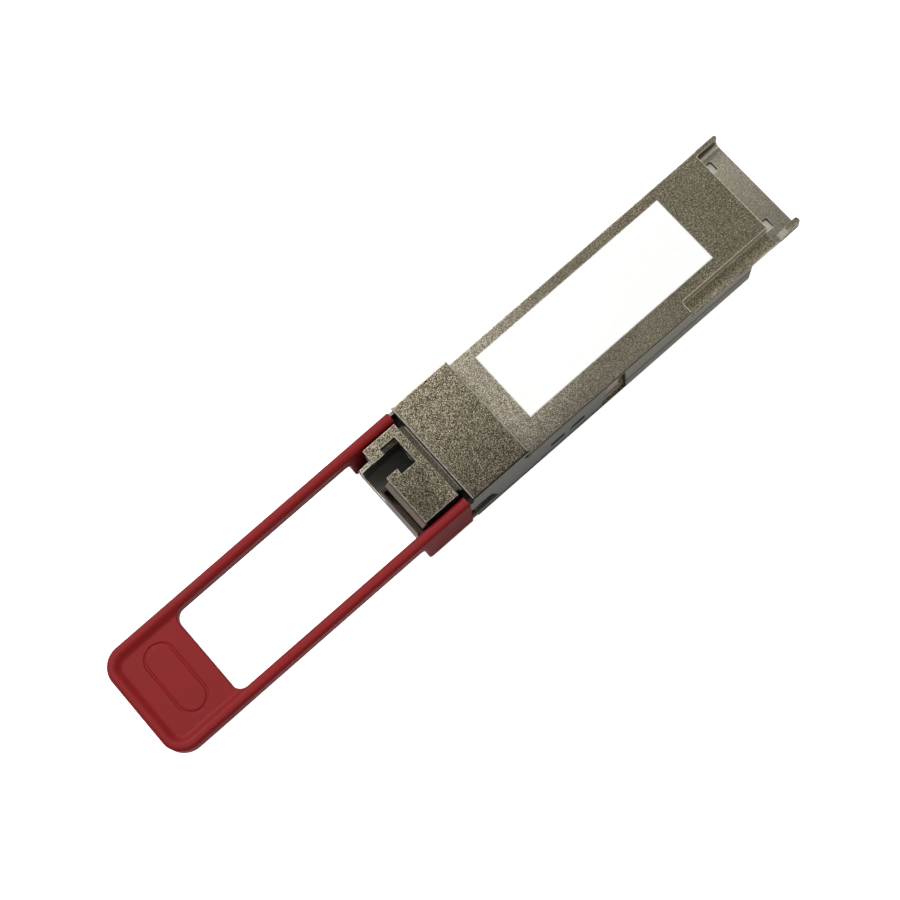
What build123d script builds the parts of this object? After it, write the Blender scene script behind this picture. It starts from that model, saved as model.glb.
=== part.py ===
from build123d import *
import math
import os

os.makedirs("parts", exist_ok=True)

# A pluggable optical module in millimetres: two die-cast shells close round a circuit card, one fibre
# port opens in the nose, and a pull tab draws two steel arms that push the host cage's latches open.
# x runs from the pull tab to the edge connector, with x = 0 on the front face of the nose block.
# y runs across, with the fibre port on the +y side. z = 0 is the heat-sink face, +z the label side.

# ---- Driving dimensions -------------------------------------------------------------------------

# Both shells
shell_wide = 18.35          # width of the slot in the host cage
shell_high = 8.5            # heat-sink face to label face
shell_long = 72.8           # port front to the tips of the hood's ears
port_front = -9.1           # front face of the fibre port
parting = 3.6               # height of the joint between the shells
roof = 1.0                  # wall under the label
floor = 1.2                 # wall behind the heat-sink face
edge_round = 0.3            # cast outer edges
base_round = 0.6            # lower edges of the base shell
side_draft = 0.12           # lean of the cast sides towards the label face
web = 0.9                   # wall left between the arm channel and the inside
seam_chamfer = 0.18         # relief along the joint between the shells

# Nose block, the part that stays outside the cage
nose_long = 10.6
nose_inset = 0.03           # its sides inside the shells' sides
nose_high = 11.0
nose_roof = 1.0             # overhang above the release arms
chamber_roof = 2.0          # wall over the optics
chamber_wall = 0.5          # wall between the optics and a spring pocket
bulkhead = 1.8              # wall between the port and the optics chamber
bulkhead_front = 0.6

# Fibre port
port_inset = 2.175          # its sides inside the shells' sides
port_high = 10.9
port_back = -1.1            # rear end of the window plate
plate_front = -7.15         # front edge of the window plate
apron_high = 9.6            # step in front of the plate, at its rear
apron_low = 8.8             # and at the port's front face
apron_from_fibre = 1.79     # its side to the centre of the plug's hole
port_cheek_back = 7.7       # thin wall beside the plug's hole, in front of the plate
port_cheek_front = 7.4
port_cheek_wide = 0.6
plate_thick = 1.0
neck_inset = 0.75           # neck's sides inside the port's sides
neck_high = 10.0
neck_groove = 0.28          # groove between the neck and the nose
neck_groove_low = 8.6
fibre_from_side = 3.86      # centre of the plug's hole to the port's side
fibre_z = 5.6
plug_hole = 4.65            # square hole for the plug's body
plug_ledge = 0.45           # step at each side of the hole, under the latch
plug_ledge_high = 7.65
window_wide = 4.92          # wide part of the latch window
window_front = -5.15
window_back = -2.35
window_neck = 2.88          # narrow part, open at the front
blank_groove_front = -8.78
blank_groove_long = 0.72
blank_groove_deep = 2.8
blank_rib = 0.55            # rib left between the groove and the plug's hole
blank_plug_long = 2.0       # part of the blank that enters the port
blank_clear = 0.05
liner_floor = 0.35
liner_wall = 0.3
liner_front = 0.12          # rim of the shell left in front of it
liner_high = 0.9            # its walls above the plug's floor
blank_wall = 1.0            # walls round the cored-out blank half

# Connector end
hood_high = 6.3             # top of the hood over the card's contacts
hood_thick = 0.8
hood_long = 4.1             # step to the hood's end
ear_reach = 0.55            # longer ear past the hood's end
ear_short = 0.4             # the other ear's tip behind it
ear_high = 1.25             # shorter ear above the hood
ear_long = 3.9
ear_groove = 0.3            # radius of the hollow along its top
ear_wide = 0.93
ear_cove = 0.8              # hollow corner between the taller ear and the hood
side_to_step = 4.8         # end of the side walls to the cover's step
end_wall = 1.6
end_slant = 0.4             # lean of the end face, over the height under the hood
ledge_long = 16.85          # ledge along one side
ledge_wide = 2.35
ledge_wall = 0.8
ledge_round = 0.5
sight_wide = 1.9            # windows in the hood
sight_long = 1.62
sight_from_side = 3.15      # their middles to the shell's sides
sight_inset = 0.02          # step to the windows
sight_round = 0.3

# Release arms, stamped from stainless sheet
arm_sheet = 0.5
arm_inset = 0.10            # arm face below the shell's side face
arm_clear = 0.08            # arm to channel, each side
arm_head = 0.15             # arm to channel, above
arm_low = 0.7
arm_high = 7.9
arm_end_low = 24.3          # foot of the slanted end
arm_end_high = 25.7
arm_lug_end = 9.8           # end of the tall lug beside the nose
arm_lug_high = 9.5
arm_lug_bevel = 0.6
arm_root = 7.4              # length moulded into the tab's boss
arm_bend = 1.1              # length of the bend, inside the boss
arm_bend_back = 0.6         # bend to the boss's rear face
arm_root_inset = 0.5        # step of the root towards the middle
arm_notch_low = 1.9
arm_notch_high = 5.8
arm_notch_end = 4.2
arm_notch_slant = 1.2
notch_pocket = 1.1          # depth of the shells' pockets behind the notch
slot_pocket = 0.55          # and behind the slots
arm_slot_low = 2.7
arm_slot_high = 4.1
arm_slots = ((14.5, 17.15, 0.0), (18.0, 21.1, 0.8))   # start, end and slant of each slot
spring_tab_x = 9.6
spring_tab_low = 4.7
spring_tab_high = 6.5
latch_hole_front = 28.2     # deep notch at the end of the arm's channel
latch_hole_back = 29.1
latch_hole_low = 2.2
latch_hole_high = 6.9
latch_hole_deep = 1.15

# Return springs
spring_wire = 0.22
spring_outer = 1.56
spring_turns = 5
spring_gap = 0.01           # spring's ends to what they bear on
spring_pocket_front = 4.6
spring_clear = 0.05

# Pull tab
tab_front = -55.55
tab_overhang = 0.07         # tab's sides outside the shells' sides
tab_low = 7.2
tab_high = 10.3
tab_corner = 3.5
tab_edge_round = 0.6
tab_under_round = 0.4
arm_band = 1.7             # width of each moulded arm
paddle_long = 12.6
finger_corner = 1.7
rim_wide = 1.15
recess_deep = 0.7
recess_slope = 50           # degrees that its walls lean outwards
recess_round = 0.5
recess_corner = 1.4
oval_long = 11.9
oval_wide = 5.0
oval_groove = 0.4
oval_groove_deep = 0.15
oval_y = 0.15
oval_from_front = 7.3
boss_front = -9.5
boss_back = -0.75
boss_rake = 0.4             # lean of its rear face
boss_low = 0.0
boss_corner = 0.9
boss_fillet = 1.2

# Gasket beads
bead_margin = 0.6
bead_wide = 0.5
bead_high = 0.3

# Label
label_gap = 3.9             # nose block to the label
label_long = 35.6
label_wide = 12.0
label_from_side = 2.045
label_thick = 0.11
label_recess = 0.08

# Cover screws
screw_from_nose = 9.4
screw_from_end = 8.8        # second screw to the end of the side walls
screw_radius = 0.8
screw_head_radius = 1.35
screw_head_high = 0.8
screw_clear = 0.08
screw_tip = 1.4
post_radius = 1.6

# Circuit card and its contacts
card_low = 2.9
card_thick = 1.0
card_from_nose = 0.3
card_back = 0.95            # card's end to the hood's end
card_clear = 0.15
card_shelf = 0.7            # shelf that carries the card's edge
tongue_inset = 0.965        # tongue's sides inside the shells' sides
tongue_gap = 0.4            # side walls to the wide part of the tongue
tongue_bevel = 0.25
tongue_corner = 0.5
contact_edge = 0.6          # tongue's side to the first contact's space
contact_pitch = 0.8
contact_wide = 0.54
contact_thick = 0.05
contact_long = 1.9
ground_contact_extra = 0.4
ground_contacts = (0, 3, 6, 12, 15, 18)
contact_setback = 0.6       # card's end to the nearest contact

# Optics
barrel_radius = 1.46
barrel_clear = 0.04
barrel_front = -2.3
barrel_flange_radius = 1.95
barrel_flange = 0.8
barrel_bevel = 0.2
sleeve_inset = 0.2          # barrel's mouth to the sleeve
sleeve_radius = 0.95
sleeve_split = 0.15
ferrule_radius = 0.626      # bore that takes the plug's ferrule
ferrule_deep = 3.6          # length of the sleeve
stub_radius = 0.8
stub_gap = 0.1              # sleeve to the fibre stub
block_long = 5.6
block_wide = 5.6
block_high = 5.6
block_bevel = 0.5
laser_radius = 2.2
laser_long = 1.9
laser_base = 0.5
receiver_radius = 1.9
receiver_long = 2.6
receiver_base = 0.4
can_step = 0.35             # each can inside its base
flex_thick = 0.15
flex_half = 1.6             # half the films' width
flex_reach = 0.7            # card's front edge to where the films land
flex_land = 1.7             # length soldered to the card
cradle_lip = 0.2
cradle_rim = 0.9

# Parts on the card
processor_long = 12.0
processor_wide = 11.0
processor_high = 1.1
pad_margin = 1.0
driver_side = 4.0
driver_high = 0.9
driver_from_card = 6.2      # card's front edge to its middle
driver_y = 3.6
amplifier_side = 3.0
amplifier_high = 0.8
amplifier_from_card = 5.4
amplifier_y = -4.6
controller_side = 5.0
controller_high = 0.9
controller_from_screw = 6.0
controller_y = -3.8
crystal_long = 3.2
crystal_wide = 2.5
crystal_high = 0.8
crystal_from_screw = 5.0
crystal_y = 3.8
choke_long = 2.6
choke_wide = 2.2
choke_high = 1.3
choke_pitch = 3.6
choke_count = 3
choke_from_screw = 3.0
choke_y = 3.8
capacitor_long = 1.1
capacitor_wide = 0.6
capacitor_high = 0.6
capacitor_from_screw = 4.0
capacitor_from_end = 4.8
capacitor_pitch_x = 2.2
capacitor_pitch_y = 1.8
capacitor_rows = 3
capacitor_y = -5.2

# ---- Values that follow from them ---------------------------------------------------------------

half = shell_wide / 2
nose_half = half - nose_inset
port_half = half - port_inset
neck_half = port_half - neck_inset
tab_half = half + tab_overhang
fibre_y = port_half - fibre_from_side
apron_edge = fibre_y - apron_from_fibre
arm_outer = half - arm_inset
arm_inner = arm_outer - arm_sheet
guide_face = arm_inner - arm_clear
cavity_half = guide_face - web
ear_tip = port_front + shell_long
hood_end = ear_tip - ear_reach
step_x = hood_end - hood_long
hood_low = hood_high - hood_thick
side_end = step_x - side_to_step
ledge_front = step_x - ledge_long
sight_y = half - sight_from_side
label_front = nose_long + label_gap
label_y = half - label_from_side - label_wide / 2
screw_front = nose_long + screw_from_nose
screw_back = side_end - screw_from_end
screw_places = (screw_front, screw_back)
ledge_edge = half - ledge_wide
cavity_top = shell_high - roof
nose_shelf = nose_high - nose_roof
chamber_front = bulkhead_front + bulkhead
chamber_top = nose_high - chamber_roof
spring_radius = spring_outer / 2
spring_y = arm_inner - spring_clear - spring_radius
spring_z = (spring_tab_low + spring_tab_high) / 2
pocket_inner = spring_y - spring_radius - spring_clear
chamber_half = pocket_inner - chamber_wall
pocket_back = spring_tab_x + arm_sheet + arm_clear
card_high = card_low + card_thick
card_half = cavity_half - card_clear
card_front = nose_long + card_from_nose
card_end = hood_end - card_back
shelf_half = card_half - card_shelf
tongue_front = side_end + tongue_gap
tongue_half = half - tongue_inset
contact_count = int((2 * tongue_half - 2 * contact_edge) / contact_pitch)
plug_half = plug_hole / 2
latch_half = plug_half + plug_ledge
port_ceiling = port_high - plate_thick
plate_step = port_high - 0.7
port_floor = fibre_z - plug_half
liner_half = plug_half + liner_wall
liner_low = port_floor - liner_floor
blank_top = apron_low - blank_groove_deep - blank_wall
blank_side = fibre_y - plug_half - blank_wall
finger_half = tab_half - arm_band
finger_front = tab_front + paddle_long
label_face = shell_high - label_recess
middle = (tab_front + ear_tip) / 2          # moved to x = 0 in the written files

corner = (Align.MIN, Align.MIN, Align.MIN)


# ---- Helpers ------------------------------------------------------------------------------------

def block(x0, x1, y0, y1, z0, z1):
    """Rectangular bar between two opposite corners."""
    return Pos(x0, y0, z0) * Box(x1 - x0, y1 - y0, z1 - z0, align=corner)


def bar_along_x(section, x0, x1):
    """A section drawn in y and z, carried along x."""
    return extrude(Plane.YZ.offset(x0) * section, amount=x1 - x0, dir=(1, 0, 0))


def plate_across_y(outline, y0, y1):
    """An outline drawn in x and z, carried across y."""
    return extrude(Plane.XZ.offset(-y1) * outline, amount=y1 - y0, dir=(0, -1, 0))


def rod_along_x(radius, x0, x1, y, z):
    """Round bar along x."""
    return Pos(x0, y, z) * Rot(0, 90, 0) * Cylinder(radius, x1 - x0, align=bottom)


def post(radius, x, y, z0, z1):
    """Round bar standing on z0."""
    return Pos(x, y, z0) * Cylinder(radius, z1 - z0, align=bottom)


def both_sides(piece):
    """The piece and its mirror image on the other side of the module."""
    return [piece, mirror(piece, about=Plane.XZ)]


def write(name, piece):
    """One file per node, with the module's middle at x = 0."""
    solids = [solid for shape in (piece if isinstance(piece, list) else [piece]) for solid in shape.solids()]
    moved = [Pos(-middle, 0, 0) * solid for solid in solids]
    export_step(moved[0] if len(moved) == 1 else Compound(moved), "parts/" + name + ".step")


bottom = (Align.CENTER, Align.CENTER, Align.MIN)


# ---- Release arms -------------------------------------------------------------------------------

def release_arm():
    """Stamped arm on the +y side: a bent strip seen from above, cut to the outline seen from the side."""
    root_front = boss_back - arm_root
    bend_back = boss_back - arm_bend_back
    bend_front = bend_back - arm_bend
    root_y = arm_inner - arm_root_inset
    strip = Polygon(
        (root_front, root_y),
        (bend_front, root_y),
        (bend_back, arm_inner),
        (arm_end_high, arm_inner),
        (arm_end_high, arm_outer),
        (bend_back - 0.2, arm_outer),
        (bend_front - 0.2, root_y + arm_sheet),
        (root_front, root_y + arm_sheet),
        align=None,
    )
    bent = extrude(Pos(0, 0, arm_low) * strip, amount=arm_lug_high - arm_low)
    side = Polygon(
        (root_front, arm_low + 0.5),
        (boss_back, arm_low),
        (arm_end_low, arm_low),
        (arm_end_high, arm_high),
        (arm_lug_end + arm_lug_bevel, arm_high),
        (arm_lug_end, arm_high + arm_lug_bevel),
        (arm_lug_end, arm_lug_high),
        (root_front, arm_lug_high),
        align=None,
    )
    arm = bent & plate_across_y(side, root_y, arm_outer)
    notch = Polygon(
        (boss_back - 0.3, arm_notch_low),
        (arm_notch_end, arm_notch_low),
        (arm_notch_end - arm_notch_slant, arm_notch_high),
        (boss_back - 0.3, arm_notch_high),
        align=None,
    )
    arm -= plate_across_y(notch, root_y, arm_outer + 1)
    for start, end, slant in arm_slots:
        slot = Polygon(
            (start, arm_slot_low),
            (end, arm_slot_low),
            (end, arm_slot_high),
            (start + slant, arm_slot_high),
            align=None,
        )
        arm -= plate_across_y(slot, root_y, arm_outer + 1)
    tab_in = spring_y - spring_radius * 0.8
    arm += block(spring_tab_x, spring_tab_x + arm_sheet, tab_in, arm_outer, spring_tab_low, spring_tab_high)
    return arm


def return_spring():
    """Compression spring on the +y side, between the pocket's front wall and the arm's bent tab."""
    wire = spring_wire / 2
    start = spring_pocket_front + wire + spring_gap
    length = spring_tab_x - spring_pocket_front - spring_wire - 2 * spring_gap
    coil = Helix(length / spring_turns, length, spring_radius - wire)
    wound = sweep(Plane(origin=coil @ 0, z_dir=coil % 0) * RegularPolygon(wire, 6), path=coil)
    return Pos(start, spring_y, spring_z) * Rot(0, 90, 0) * wound


arm_left = release_arm()
arm_right = mirror(arm_left, about=Plane.XZ)
spring_left = return_spring()
spring_right = mirror(spring_left, about=Plane.XZ)


# ---- Pull tab -----------------------------------------------------------------------------------

def pull_tab():
    """Moulded frame: a dished paddle, two long arms, and a deep boss at the end of each arm."""
    frame_long = boss_back - tab_front
    outline = Pos(tab_front + frame_long / 2, 0) * Rectangle(frame_long, 2 * tab_half)
    outline = fillet(outline.vertices().group_by(Axis.X)[0], tab_corner)
    tab = extrude(Pos(0, 0, tab_low) * outline, amount=tab_high - tab_low)
    tab = fillet(tab.edges().group_by(Axis.Z)[-1], tab_edge_round)
    tab = fillet(tab.edges().group_by(Axis.Z)[0], tab_under_round)

    side = Polygon(
        (boss_front - boss_fillet * 2, tab_low + 0.1),
        (boss_front, tab_low + 0.1),
        (boss_front, boss_low),
        (boss_back, boss_low),
        (boss_back, tab_high - tab_edge_round),
        (boss_front - boss_fillet * 2, tab_high - tab_edge_round),
        align=None,
    )
    corners = side.vertices()
    inner = corners.sort_by_distance((boss_front, tab_low + 0.1, 0))[0]
    side = fillet(inner, boss_fillet)
    side = fillet(side.vertices().sort_by_distance((boss_front, boss_low, 0))[0], boss_corner)
    tab += both_sides(plate_across_y(side, finger_half, tab_half))

    finger = block(finger_front, 1, -finger_half, finger_half, tab_low - 1, tab_high + 1)
    finger = fillet(finger.edges().filter_by(Axis.Z).group_by(Axis.X)[0], finger_corner)
    finger += block(boss_front - 3, 1, -finger_half, finger_half, boss_low - 1, tab_high)
    tab -= finger

    rake = Polygon(
        (boss_back - boss_rake, boss_low - 0.1),
        (boss_back + 1, boss_low - 0.1),
        (boss_back + 1, tab_low),
        (boss_back, tab_low),
        align=None,
    )
    tab -= plate_across_y(rake, -tab_half - 1, tab_half + 1)

    slope = math.tan(math.radians(recess_slope))
    inset = rim_wide + recess_deep * slope
    level = tab_high - recess_deep
    reach = finger_front + 2 * inset - tab_front - inset
    floor_outline = Pos(tab_front + inset + reach / 2, 0) * Rectangle(reach, 2 * (tab_half - inset))
    floor_outline = fillet(floor_outline.vertices(), recess_corner)
    dish = extrude(Pos(0, 0, level) * floor_outline, amount=recess_deep + 0.5, taper=-recess_slope)
    dish = fillet(dish.edges().group_by(Axis.Z)[0], recess_round)
    tab -= dish & block(tab_front, finger_front + finger_corner, -tab_half, tab_half, tab_low, tab_high + 1)

    oval = Rot(0, 0, 90) * SlotOverall(oval_long, oval_wide)
    oval -= Rot(0, 0, 90) * SlotOverall(oval_long - 2 * oval_groove, oval_wide - 2 * oval_groove)
    groove_z = tab_high - recess_deep - oval_groove_deep
    tab -= extrude(Pos(tab_front + oval_from_front, oval_y, groove_z) * oval, amount=1)
    for arm in (arm_left, arm_right):
        tab -= arm
    return tab


# ---- Shells -------------------------------------------------------------------------------------

def side_cuts():
    """What both shells lose at their sides: the arms' channels and the notches for the cage's latches."""
    channel = block(-1, latch_hole_back, guide_face, half + 1, arm_low - arm_clear, arm_high + arm_head)
    lug = block(-1, nose_long + 0.1, guide_face, half + 1, arm_low, nose_shelf)
    hole_inner = half - latch_hole_deep
    hole = block(latch_hole_front, latch_hole_back, hole_inner, half + 1, latch_hole_low, latch_hole_high)
    cuts = channel + lug + hole
    cuts += block(-1, arm_notch_end - arm_notch_slant, guide_face - notch_pocket, half + 1,
                  arm_notch_low, arm_notch_high)
    for start, end, slant in arm_slots:
        cuts += block(start, end, guide_face - slot_pocket, half + 1, arm_slot_low, arm_slot_high)
    return both_sides(cuts)


def end_cut():
    """Wedge that leans the shells' end face under the hood."""
    wedge = Polygon(
        (side_end - end_slant, -0.1),
        (side_end + 1, -0.1),
        (side_end + 1, hood_low),
        (side_end, hood_low),
        align=None,
    )
    return plate_across_y(wedge, -half - 1, half + 1)


def label_shell():
    """Upper casting: cover, nose block, fibre port and the hood over the card's contacts."""
    outline = Polygon(
        (-half + seam_chamfer, parting),
        (half - seam_chamfer, parting),
        (half, parting + seam_chamfer),
        (half - side_draft, shell_high),
        (-half + side_draft, shell_high),
        (-half, parting + seam_chamfer),
        align=None,
    )
    outline = fillet(outline.vertices().group_by(Axis.Y)[-1], edge_round)
    shell = bar_along_x(outline, nose_long - 1, step_x)

    nose = block(0, nose_long, -nose_half, nose_half, parting, nose_high)
    top_edges = nose.edges().group_by(Axis.Z)[-1]
    nose = fillet(top_edges, edge_round)
    shell += nose
    shell += block(plate_front, port_back, -port_half, port_half, parting, port_high)
    cheek = Polygon(
        (port_front, parting),
        (plate_front + 0.1, parting),
        (plate_front + 0.1, port_cheek_back),
        (port_front, port_cheek_front),
        align=None,
    )
    shell += plate_across_y(cheek, fibre_y + plug_half, fibre_y + plug_half + port_cheek_wide)
    shell += block(port_back, 0, -neck_half, neck_half, parting, neck_high)

    shell -= block(-neck_groove, 0, -neck_half - 1, neck_half + 1, neck_groove_low, nose_high + 1)

    # The hood, its side wall and its two ears
    shell += block(step_x - 1, hood_end, -half, half, hood_low, hood_high)
    tall_ear = block(step_x - 1, ear_tip - ear_short, half - ear_wide, half - side_draft, hood_low, shell_high)
    tip_edges = tall_ear.edges().filter_by(Axis.Z).group_by(Axis.X)[-1]
    shell += fillet(tip_edges, ear_wide * 0.4)
    cove_y = half - ear_wide - ear_cove
    cove = block(step_x - 1, hood_end, cove_y, half - ear_wide, hood_low, hood_high + ear_cove)
    shell += cove - rod_along_x(ear_cove, step_x - 2, hood_end + 1, cove_y, hood_high + ear_cove)
    low_ear = Polygon(
        (ear_tip - ear_long, hood_low),
        (ear_tip, hood_low),
        (ear_tip, hood_high + ear_high),
        (ear_tip - ear_long / 2, hood_high + ear_high),
        (ear_tip - ear_long, hood_high),
        align=None,
    )
    horn = plate_across_y(low_ear, -half - tab_overhang, -half + ear_wide)
    horn = fillet(horn.edges().filter_by(Axis.Z).group_by(Axis.X)[-1], ear_wide * 0.45)
    shell += horn
    shell -= rod_along_x(ear_groove, ear_tip - ear_long, ear_tip - ear_groove, -half + ear_wide / 2,
                         hood_high + ear_high)

    # The ledge along one side, level with the hood
    ledge = block(ledge_front, step_x + 0.5, -half - 1, -ledge_edge, hood_high, shell_high + 1)
    inner_corner = ledge.edges().filter_by(Axis.Z).sort_by_distance((ledge_front, -ledge_edge, hood_high))[0]
    ledge = fillet(inner_corner, ledge_round)
    shell -= ledge

    # Inside: the card's space, the optics chamber and the cored-out blank half of the nose
    wall_x = side_end - end_wall
    space = block(nose_long, wall_x, -cavity_half, cavity_half, parting - 1, cavity_top)
    space -= block(ledge_front - ledge_wall, wall_x, -half, -ledge_edge + ledge_wall, hood_low, shell_high)
    shell -= space
    shell -= block(wall_x - 0.1, side_end, -card_half - card_clear, card_half + card_clear, parting, card_high)
    shell -= block(side_end, ear_tip + 1, -half - 1, half + 1, parting - 1, hood_low)
    shell -= block(chamber_front, nose_long + 0.1, -chamber_half, chamber_half, parting - 1, chamber_top)
    shell -= block(plate_front - 1, bulkhead_front - blank_wall, -port_half + blank_wall, blank_side,
                   parting - 1, blank_top)

    # The fibre port, its latch window and the groove across the blank half
    mouth = port_front - 1
    shell -= block(mouth, bulkhead_front, fibre_y - plug_half, fibre_y + plug_half,
                   port_floor, plug_ledge_high + 0.1)
    shell -= block(mouth, bulkhead_front, fibre_y - liner_half, fibre_y + liner_half,
                   parting - 1, port_floor + liner_high)
    shell -= block(plate_front, window_back, fibre_y - latch_half, fibre_y + latch_half,
                   plug_ledge_high, port_ceiling)
    shell -= block(window_front, window_back, fibre_y - window_wide / 2, fibre_y + window_wide / 2,
                   port_ceiling - 0.1, port_high + 1)
    shell -= block(mouth, window_front, fibre_y - window_neck / 2, fibre_y + window_neck / 2,
                   port_ceiling - 0.1, port_high + 1)
    shell -= rod_along_x(barrel_radius + barrel_clear, bulkhead_front - 0.1, chamber_front + 0.1, fibre_y, fibre_z)
    shell -= rod_along_x(barrel_flange_radius + barrel_clear, chamber_front - barrel_flange,
                         chamber_front + 0.1, fibre_y, fibre_z)

    shell -= end_cut()

    # Outside: arm channels, spring pockets, the label's recess and the windows in the hood
    for cut in side_cuts():
        shell -= cut
    pocket = block(spring_pocket_front, pocket_back, pocket_inner, half + 1,
                   spring_tab_low - arm_clear, spring_tab_high + arm_clear)
    for cut in both_sides(pocket):
        shell -= cut
    shell -= block(label_front - 0.05, label_front + label_long + 0.05, label_y - label_wide / 2 - 0.05,
                   label_y + label_wide / 2 + 0.05, label_face, shell_high + 1)
    for y in (-sight_y, sight_y):
        sight_front = step_x + sight_inset
        sight = block(sight_front, sight_front + sight_long, y - sight_wide / 2, y + sight_wide / 2,
                      hood_low - 1, hood_high + 0.5)
        shell -= fillet(sight.edges().filter_by(Axis.Z), sight_round)

    # Posts that clamp the card, with the screws' clearance holes
    for x in screw_places:
        shell += post(post_radius, x, 0, card_high, cavity_top + 0.1)
        shell -= post(screw_radius + screw_clear, x, 0, card_high - 1, shell_high + 1)
        head_seat = label_face - 0.07 - screw_head_high
        shell -= post(screw_head_radius + screw_clear, x, 0, head_seat, shell_high + 1)
    return shell


def port_blank():
    """Smooth block that closes the unused half of the port, with a groove behind its front edge."""
    side = Polygon(
        (port_front, parting),
        (plate_front, parting),
        (plate_front, plate_step),
        (plate_front - 0.25, apron_high),
        (port_front, apron_low),
        align=None,
    )
    blank = plate_across_y(side, -port_half, apron_edge)
    blank = fillet(blank.edges().filter_by(Axis.Y).sort_by_distance((port_front, 0, apron_low))[0], 0.1)
    blank += block(plate_front - 0.5, plate_front + blank_plug_long, -port_half + blank_wall + blank_clear,
                   blank_side - blank_clear, parting, blank_top - blank_clear)
    blank -= block(blank_groove_front, blank_groove_front + blank_groove_long, -port_half - 1,
                   apron_edge - blank_rib, apron_low - blank_groove_deep, apron_high + 1)
    blank -= block(port_front - 1, plate_front + 1, fibre_y - plug_half, apron_edge + 1,
                   parting - 1, plug_ledge_high + 0.1)
    return blank - block(port_front - 1, plate_front + 1, fibre_y - liner_half, apron_edge + 1,
                         parting - 1, port_floor + liner_high)


def port_liner():
    """Shallow black tray under the plug, with a low wall along each side."""
    front = port_front + liner_front
    tray = block(front, bulkhead_front, fibre_y - liner_half, fibre_y + liner_half,
                 liner_low, port_floor + liner_high)
    return tray - block(front - 1, bulkhead_front + 1, fibre_y - plug_half, fibre_y + plug_half,
                        port_floor, port_floor + liner_high + 1)


def base_shell():
    """Lower casting: a tray whose flat outer face meets the cage's heat sink."""
    outline = Polygon(
        (-half, 0),
        (half, 0),
        (half, parting - seam_chamfer),
        (half - seam_chamfer, parting),
        (-half + seam_chamfer, parting),
        (-half, parting - seam_chamfer),
        align=None,
    )
    outline = fillet(outline.vertices().group_by(Axis.Y)[0], base_round)
    shell = bar_along_x(outline, 0, side_end)
    tongue = Pos(0, parting / 2) * Rectangle(2 * port_half, parting)
    tongue = fillet(tongue.vertices().group_by(Axis.Y)[0], base_round)
    shell += bar_along_x(tongue, port_front, 0.5)

    wall_x = side_end - end_wall
    shell -= block(nose_long, wall_x, -shelf_half, shelf_half, floor, parting + 1)
    shell -= block(nose_long, wall_x, -cavity_half, cavity_half, card_low, parting + 1)
    shell -= block(wall_x - 0.1, side_end + 1, -card_half - card_clear, card_half + card_clear,
                   card_low, parting + 1)
    shell -= block(chamber_front, nose_long + 0.1, -chamber_half, chamber_half, floor, parting + 1)
    shell -= block(port_front - 1, bulkhead_front, fibre_y - plug_half, fibre_y + plug_half,
                   port_floor, parting + 1)
    shell -= block(port_front + liner_front, bulkhead_front, fibre_y - liner_half, fibre_y + liner_half,
                   liner_low, parting + 1)
    shell -= end_cut()
    for cut in side_cuts():
        shell -= cut
    for groove in gasket_beads():
        shell -= groove
    for x in screw_places:
        shell += post(post_radius, x, 0, floor - 0.1, card_low)
        shell -= post(screw_radius, x, 0, screw_tip - 0.4, card_low + 1)
    return shell


def gasket_beads():
    """Conductive beads laid in the base shell's side walls, which seal the joint against radio noise."""
    bead_y = (cavity_half + half) / 2
    bead_end = side_end - end_slant - bead_margin
    bead = block(latch_hole_back + bead_margin, bead_end, bead_y - bead_wide / 2, bead_y + bead_wide / 2,
                 parting - bead_high, parting)
    return both_sides(bead)


# ---- Circuit card -------------------------------------------------------------------------------

def paddle_card():
    """Circuit card with a wider bevelled tongue that enters the host connector."""
    card = block(card_front, tongue_front + 0.5, -card_half, card_half, card_low, card_high)
    tongue = block(tongue_front, card_end, -tongue_half, tongue_half, card_low, card_high)
    tongue = chamfer(tongue.edges().filter_by(Axis.Z).group_by(Axis.X)[-1], tongue_corner)
    lead = tongue.edges().filter_by(Axis.Y).group_by(Axis.X)[-1]
    card += chamfer(lead, tongue_bevel)
    for x in screw_places:
        card -= post(screw_radius + screw_clear, x, 0, card_low - 1, card_high + 1)
    return card


def edge_contacts():
    """Gold contacts on both faces of the tongue, with the ground contacts longer so that they mate first."""
    pads = []
    for index in range(contact_count):
        y = (index - (contact_count - 1) / 2) * contact_pitch
        ground = index in ground_contacts
        near = card_end - contact_setback - (0 if ground else ground_contact_extra)
        far = card_end - contact_setback - ground_contact_extra - contact_long
        for low in (card_low - contact_thick, card_high):
            pads.append(block(far, near, y - contact_wide / 2, y + contact_wide / 2, low, low + contact_thick))
    return pads


def chip(x, y, size, top=True):
    """A flat package seated on the card's upper or lower face."""
    long, wide, high = size
    low = card_high if top else card_low - high
    return block(x - long / 2, x + long / 2, y - wide / 2, y + wide / 2, low, low + high)


def chokes():
    """Row of wound chokes for the supply."""
    size = (choke_long, choke_wide, choke_high)
    first = screw_front + choke_from_screw
    return [chip(first + index * choke_pitch, choke_y, size) for index in range(choke_count)]


def capacitors():
    """Chip capacitors beside the supply, and one more column near the tongue."""
    size = (capacitor_long, capacitor_wide, capacitor_high)
    first = screw_front + capacitor_from_screw
    columns = [first, first + capacitor_pitch_x, first + 2 * capacitor_pitch_x, side_end - capacitor_from_end]
    rows = [capacitor_y + index * capacitor_pitch_y for index in range(capacitor_rows)]
    return [chip(x, y, size) for x in columns for y in rows]


# ---- Optics -------------------------------------------------------------------------------------

block_front = chamber_front
block_back = block_front + block_long
block_low = fibre_z - block_high / 2
block_top = fibre_z + block_high / 2
block_side = fibre_y - block_wide / 2
block_middle = (block_front + block_back) / 2
laser_back = block_back + laser_long
film_y = block_side - receiver_long - flex_thick
sleeve_front = barrel_front + sleeve_inset
sleeve_back = sleeve_front + ferrule_deep


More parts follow.
